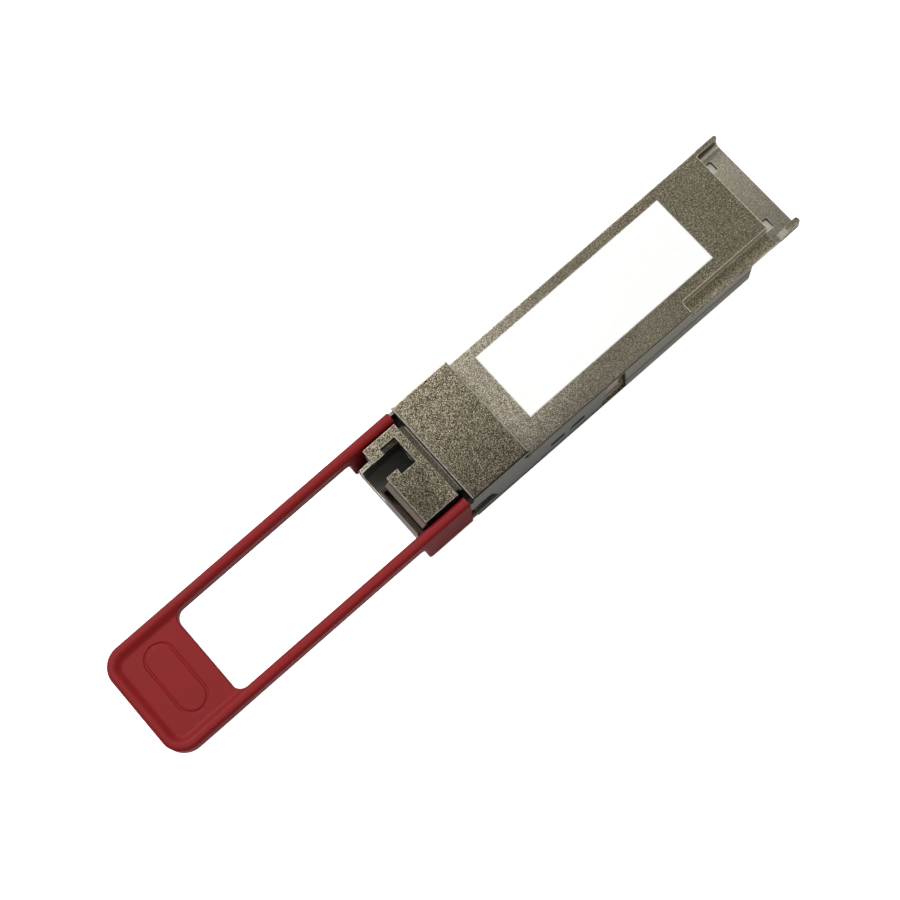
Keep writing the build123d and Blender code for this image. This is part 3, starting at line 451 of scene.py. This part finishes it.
# The flap is a black sheet of painted shade over the arm's top edge.
SHADE_FLAP = ((-4.70, -4.11), (8.30, 9.12), (9.56, 9.95))
FOAM_STEPS, FOAM_SQUARE = 48, 8
FOAM_HEIGHTS = ((0.0, 0.0), (0.0, 0.88), (0.04, 1.0), (0.96, 1.0), (1.0, 0.88), (1.0, 0.0))


def shaped(name, points, faces, made):
    """A piece at the origin with its place in its mesh, from points in mm and faces' corners."""
    mesh = bpy.data.meshes.new(name)
    mesh.from_pydata((points * MM).tolist(), [], faces)
    mesh.materials.append(made)
    piece = bpy.data.objects.new(name, mesh)
    bpy.context.scene.collection.objects.link(piece)
    return piece


def shade_foam_strip(name, box, side):
    """A bar as a function of the turn round it and the height up it.

    Distance from its axis = half its width / the eighth root of (cos^8 + sin^8), which rounds the
    corners, x a share of each height's own, which draws in both ends and closes them.
    """
    (x0, x1), (y0, y1), (z0, z1) = box
    turn = np.linspace(0, 2 * math.pi, FOAM_STEPS, endpoint=False)
    power = np.abs(np.cos(turn)) ** FOAM_SQUARE + np.abs(np.sin(turn)) ** FOAM_SQUARE
    height, drawn = (np.array(part)[:, None] for part in zip(*FOAM_HEIGHTS))
    reach = drawn * (1 / power ** (1 / FOAM_SQUARE))
    x = (x0 + x1) / 2 + reach * np.cos(turn) * (x1 - x0) / 2
    y = (y0 + y1) / 2 + reach * np.sin(turn) * (y1 - y0) / 2
    grid = np.stack([x, y * side, z0 + height * (z1 - z0) + 0 * turn], axis=2)
    points = np.concatenate([grid[0, :1], grid[1:-1].reshape(-1, 3), grid[-1, :1]])

    index = 1 + np.arange(len(points) - 2).reshape(-1, FOAM_STEPS)
    after = np.roll(index, -1, axis=1)
    walls = np.stack([index[:-1], after[:-1], after[1:], index[1:]], axis=2).reshape(-1, 4)
    foot = np.stack([0 * index[0], after[0], index[0]], axis=1)
    head = np.stack([index[-1], after[-1], 0 * index[-1] + len(points) - 1], axis=1)
    faces = [face for part in (walls, foot, head) for face in part[:, ::side].tolist()]
    piece = shaped(name, points, faces, shade_foam)
    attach(piece, "housing")


# Open-cell foam swallows the light: a deep black without sheen, here also painted shade.
shade_foam = plain("conductive_foam_shade", "151515", 0.9, grain=0.12, depth=0.02, spread=0.2)
for side, hand in ((1, "left"), (-1, "right")):
    shade_foam_strip("neck_shade_foam_" + hand, NECK_SHADE_FOAM, side)
shade_foam_strip("shade_flap_right", SHADE_FLAP, -1)

# ---- Release arms and springs -------------------------------------------------------------------
# Two arms blanked from half-millimetre stainless sheet slide in channels along the shells' sides.
# A small coil spring behind each one draws it home again.

dress(sheet, "release_arm_left", "release_arm_right")
# Drawn wire is smooth and bright, with no grain to see.
dress(plain("spring_wire", "a9a9a6", 0.25, 1.0), "return_spring_left", "return_spring_right")

# ---- Pull tab -----------------------------------------------------------------------------------
# A red thermoplastic frame moulded round the roots of both arms in one shot.
# Its surface has the fine spark-eroded matte of the mould.

STIPPLE, STIPPLE_DEPTH, FLOW, FLOW_STRETCH, MOULD_EDGE = 0.07, 0.012, 1.5, (5, 1, 1), 0.1


def red_moulding():
    """Deep red with a soft sheen, a fine even stipple and faint flow marks along the arms."""
    made, tree, body, place = start("red_moulding")
    stipple = grained(tree, place, STIPPLE)
    flow = grained(tree, place, FLOW, stretch=FLOW_STRETCH)
    soft = add(tree, "Bevel", {"Radius": MOULD_EDGE * MM}, samples=8)
    plug(tree, body, {
        "Base Color": add(tree, "ValToRGB", [flow], stops=[(0.3, "7e1013"), (0.7, "861316")]),
        "Normal": add(tree, "Bump", {"Height": stipple, "Normal": soft, "Strength": 0.5,
                                     "Distance": STIPPLE_DEPTH * MM}),
        "Roughness": add(tree, "MapRange", [flow, 0.3, 0.7, 0.52, 0.60]),
        "Specular IOR Level": 0.22,
    })
    return made


TAB_FRONT, TAB_BACK = -59.625, -4.825       # the tab's reach along x, in mm as all that follows
TAB_HALF, TAB_LOW, TAB_HIGH = 9.245, 7.2, 10.3
WINDOW_FRONT, WINDOW_HALF = -47.025, 7.545  # the finger window
OUTER_CORNER, WINDOW_CORNER = 3.5, 1.7
TOP_ROUND, UNDER_ROUND, WINDOW_ROUND = 0.6, 0.4, 0.2
RIM, SLOPE, DISH = 0.95, 1.35, 0.65         # flat rim, its slope inwards and the dish's depth
OVAL = (7.3, 0.15, 5.95, 2.5, 0.4, 0.16)    # from front, y, half length and width, groove, depth
OVAL_BLUR = 0.08                            # how far each wall of the groove leans
BOSS_FRONT, BOSS_CORNER, BOSS_FILLET, BOSS_RAKE = -13.575, 0.9, 1.2, 0.4
BOSS_STEP = 0.06                            # between the boss's corner and its fillet
FAN_STEPS, FLAT_STEPS, ARM_STEPS = 9, 6, 14
CORNER_STEPS, MIDDLE_STEPS = 90, 50
EDGE_BAND, SLOPE_BAND, DISH_BAND = (0.05, 9), (0.18, 16), (0.98, 86)    # share across, and steps
WINDOW_STEPS = 6
SHARP_ANGLE = 40                            # degrees, past which an edge stays sharp


def rounded(gap, radius):
    """How far a quarter-round edge has fallen at a gap inside it.

    Fall = radius x (1 - the square root of (1 - (1 - gap / radius) squared)).
    """
    inside = np.clip(1 - gap / radius, 0, 1)
    return radius * (1 - np.sqrt(1 - inside ** 2))


def frame_gap(x, y, front, half, corner):
    """Distance inward from an outline that is open at the back and has two round front corners."""
    side = np.abs(y) - (half - corner)
    ahead = (front + corner) - x
    both = (side > 0) & (ahead > 0)
    return np.where(both, corner - np.hypot(side, ahead), corner - np.maximum(side, ahead))


def front_path(front, half, corner, start_x):
    """Half of an outline: from start_x along the arm, round the corner and to the middle line."""
    straight = start_x - (front + corner)
    arc = corner * math.pi / 2
    total = straight + arc + half - corner
    along = np.concatenate([np.linspace(0, straight + arc, CORNER_STEPS, endpoint=False),
                            np.linspace(straight + arc, total, MIDDLE_STEPS)])
    turn = np.clip((along - straight) / corner, 0, math.pi / 2)
    x = np.where(along < straight, start_x - along, front + corner - corner * np.sin(turn))
    y = half - corner + corner * np.cos(turn) - np.maximum(along - straight - arc, 0)
    return x, y


def boss_profile():
    """x and lowest z of the stations along an arm: the boss, its corner, its fillet, the arm."""
    fan = np.linspace(0, math.pi / 2, FAN_STEPS)
    corner_x = BOSS_FRONT + BOSS_CORNER * (1 - np.sin(fan))
    corner_z = BOSS_CORNER * (1 - np.cos(fan))
    fillet_x = BOSS_FRONT - BOSS_STEP - BOSS_FILLET * (1 - np.cos(fan))
    fillet_z = TAB_LOW - BOSS_FILLET * (1 - np.sin(fan))
    flat_x = np.linspace(TAB_BACK, BOSS_FRONT + BOSS_CORNER, FLAT_STEPS)[:-1]
    arm_x = np.linspace(fillet_x[-1], WINDOW_FRONT + WINDOW_CORNER, ARM_STEPS)[1:-1]
    x = np.concatenate([flat_x, corner_x, fillet_x, arm_x])
    z = np.concatenate([0 * flat_x, corner_z, fillet_z, 0 * arm_x + TAB_LOW])
    return x, z


def across_shares():
    """Shares of the way from the outer edge to the window, closest together at both of them."""
    (edge, fan), (slope, slope_steps), (dish, dish_steps) = EDGE_BAND, SLOPE_BAND, DISH_BAND
    return np.concatenate([edge * (1 - np.cos(np.linspace(0, math.pi / 2, fan)))[:-1],
                           np.linspace(edge, slope, slope_steps)[:-1],
                           np.linspace(slope, dish, dish_steps)[:-1],
                           dish + (1 - dish) * np.sin(np.linspace(0, math.pi / 2, WINDOW_STEPS))])


def tab_grid():
    """A strip bent into a U: x, y and the lowest z at each station along it and share across it."""
    arm_x, arm_low = boss_profile()
    start_x = WINDOW_FRONT + WINDOW_CORNER
    outer = front_path(TAB_FRONT, TAB_HALF, OUTER_CORNER, start_x)
    inner = front_path(WINDOW_FRONT, WINDOW_HALF, WINDOW_CORNER, start_x)
    out_x, in_x = (np.concatenate([arm_x, path[0]]) for path in (outer, inner))
    out_y = np.concatenate([0 * arm_x + TAB_HALF, outer[1]])
    in_y = np.concatenate([0 * arm_x + WINDOW_HALF, inner[1]])
    low = np.concatenate([arm_low, 0 * outer[0] + TAB_LOW])
    mirror = slice(-2, None, -1)
    out_x, in_x, low = (np.concatenate([part, part[mirror]]) for part in (out_x, in_x, low))
    out_y, in_y = (np.concatenate([part, -part[mirror]]) for part in (out_y, in_y))

    share = across_shares()
    on_arm = np.abs(out_x - in_x) < 1e-9
    even = 0.5 - 0.5 * np.cos(math.pi * np.linspace(0, 1, len(share)))
    across = np.where(on_arm[:, None], even[None, :], share[None, :])
    x = out_x[:, None] + (in_x - out_x)[:, None] * across
    y = out_y[:, None] + (in_y - out_y)[:, None] * across
    return x, y, low[:, None]


def tab_surface():
    """The strip's upper and lower sheet over its grid.

    Upper = top - rounded outer edge - slope into the dish - rounded window edge - oval groove.
    The slope follows 3 t squared - 2 t cubed. Lower = the arm's or boss's foot + rounded edges.
    """
    x, y, low = tab_grid()
    outside = np.maximum(frame_gap(x, y, TAB_FRONT, TAB_HALF, OUTER_CORNER), 0)
    inside = np.maximum(-frame_gap(x, y, WINDOW_FRONT, WINDOW_HALF, WINDOW_CORNER), 0)
    ease = np.clip((outside - RIM) / SLOPE, 0, 1)
    top = TAB_HIGH - rounded(outside, TOP_ROUND) - DISH * ease ** 2 * (3 - 2 * ease)
    top -= rounded(inside, WINDOW_ROUND)
    from_front, oval_y, long, wide, groove, deep = OVAL
    run = np.maximum(np.abs(y - oval_y) - (long - wide), 0)
    ring = np.hypot(run, x - TAB_FRONT - from_front) - wide + groove / 2
    top -= deep * np.clip((groove / 2 - np.abs(ring)) / OVAL_BLUR + 0.5, 0, 1)
    under = low + rounded(np.minimum(outside, inside), UNDER_ROUND)

    top, under = (np.stack([x, y, z], axis=2) for z in (top, under))
    for end in (0, -1):
        for skin in (top, under):
            fall = np.clip((TAB_LOW - skin[end, :, 2]) / TAB_LOW, 0, 1)
            skin[end, :, 0] -= BOSS_RAKE * fall
    return top, under


def tab_mesh():
    """The strip's two sheets joined by walls at the outer edge, the window and both ends."""
    top, under = tab_surface()
    rows, columns = top.shape[:2]
    index = np.arange(rows * columns).reshape(rows, columns)
    below = index + rows * columns

    def quads(a, b, c, d):
        """Faces from four equal arrays of corners."""
        return np.stack([a.ravel(), b.ravel(), c.ravel(), d.ravel()], axis=1)

    faces = np.concatenate([
        quads(index[:-1, :-1], index[:-1, 1:], index[1:, 1:], index[1:, :-1])[:, ::-1],
        quads(below[:-1, :-1], below[:-1, 1:], below[1:, 1:], below[1:, :-1]),
        quads(index[:-1, 0], index[1:, 0], below[1:, 0], below[:-1, 0])[:, ::-1],
        quads(index[:-1, -1], index[1:, -1], below[1:, -1], below[:-1, -1]),
        quads(index[0, :-1], index[0, 1:], below[0, 1:], below[0, :-1]),
        quads(index[-1, :-1], index[-1, 1:], below[-1, 1:], below[-1, :-1])[:, ::-1],
    ])
    return np.concatenate([top.reshape(-1, 3), under.reshape(-1, 3)]), faces.tolist()


moulding = shaped("pull_tab_moulding", *tab_mesh(), red_moulding())
moulding.data.shade_smooth()
moulding.data.set_sharp_from_angle(angle=math.radians(SHARP_ANGLE))
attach(moulding, "release")
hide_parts("pull_tab")

# ---- Label --------------------------------------------------------------------------------------
# A white polyester film with a satin top coat, pressed into its shallow recess over the screws.
# It is left without print, and shows as an even, faintly soft white.

dress(plain("label_film", "f8f8f7", 0.35, grain=0.4, depth=0.003, spread=0.01), "label")

# ---- Stage --------------------------------------------------------------------------------------
# A pale floor under a large soft light, with a weaker one opposite and a white room round them.
# The camera looks from almost straight above through a long lens.

FLOOR_REACH, FLOOR_GLOW = 1500, 0.75    # mm from the middle, and the strength the camera sees
KEY = ((-0.06, 0.42, 0.50), 0.45, 3.4)  # place and size in metres, and watts
FILL = ((0.20, -0.25, 0.60), 0.50, 0.4)
ROOM = (0.0, 0.9, 0.16, 0.58)           # from the horizon to near the zenith, and the light of each
SENSOR, LENS, ROLL = 36.0, 84.08, 41    # mm, mm and degrees
EYE = (-30.085, -69.05, 303.14)         # mm
ACROSS, UPWARD, BACK = ((0.99557, -0.02234, 0.09138), (0.00113, 0.97415, 0.22589),
                        (-0.09407, -0.22479, 0.96986))  # the level camera's own axes


def floor():
    """A flat pale sheet that takes the shadow, and lights the module less than it shows."""
    made, tree, body, place = start("floor")
    rays = add(tree, "LightPath", out=None)
    seen = [rays["Is Camera Ray"], rays["Is Glossy Ray"]]
    shown = add(tree, "Math", seen, operation="MAXIMUM")
    white = srgb("ffffff")
    plug(tree, body, {
        "Base Color": coated(tree, srgb("757472"), (shown, white)),
        "Emission Color": coated(tree, srgb("000000"), (rays["Is Camera Ray"], white)),
        "Emission Strength": FLOOR_GLOW, "Roughness": 0.9,
    })
    corners = np.array([(-1, -1, 0), (1, -1, 0), (1, 1, 0), (-1, 1, 0)]) * FLOOR_REACH
    sheet_object = shaped("floor", corners, [(0, 1, 2, 3)], made)


def soft_light(name, place, size, power):
    """A square soft light that faces the middle of the module."""
    data = bpy.data.lights.new(name, "AREA")
    data.size = size
    data.energy = power
    lamp = bpy.data.objects.new(name, data)
    lamp.location = place
    lamp.rotation_euler = Vector(place).to_track_quat("Z", "Y").to_euler()
    bpy.context.scene.collection.objects.link(lamp)


def camera():
    """The long lens, rolled so that the module runs up to the right."""
    data = bpy.data.cameras.new("camera")
    data.sensor_width = SENSOR
    data.lens = LENS
    across, upward = np.array(ACROSS), np.array(UPWARD)
    roll = math.radians(ROLL)
    right = math.cos(roll) * across - math.sin(roll) * upward
    up = math.sin(roll) * across + math.cos(roll) * upward
    turn = Matrix([right, up, BACK]).transposed()
    lens = bpy.data.objects.new("camera", data)
    lens.matrix_world = Matrix.Translation(Vector(EYE) * MM) @ turn.to_4x4()
    bpy.context.scene.collection.objects.link(lens)
    bpy.context.scene.camera = lens


def room():
    """A white room that is lighter overhead than at the horizon."""
    world = bpy.data.worlds.new("room")
    world.use_nodes = True
    sky = world.node_tree
    height = add(sky, "SeparateXYZ", [add(sky, "TexCoord", out="Generated")], "Z")
    plug(sky, sky.nodes["Background"], {"Color": srgb("ffffff"),
                                        "Strength": add(sky, "MapRange", [height, *ROOM])})
    bpy.context.scene.world = world


floor()
soft_light("key", *KEY)
soft_light("fill", *FILL)
camera()
room()
bpy.context.scene.view_settings.view_transform = "Standard"

write_size()
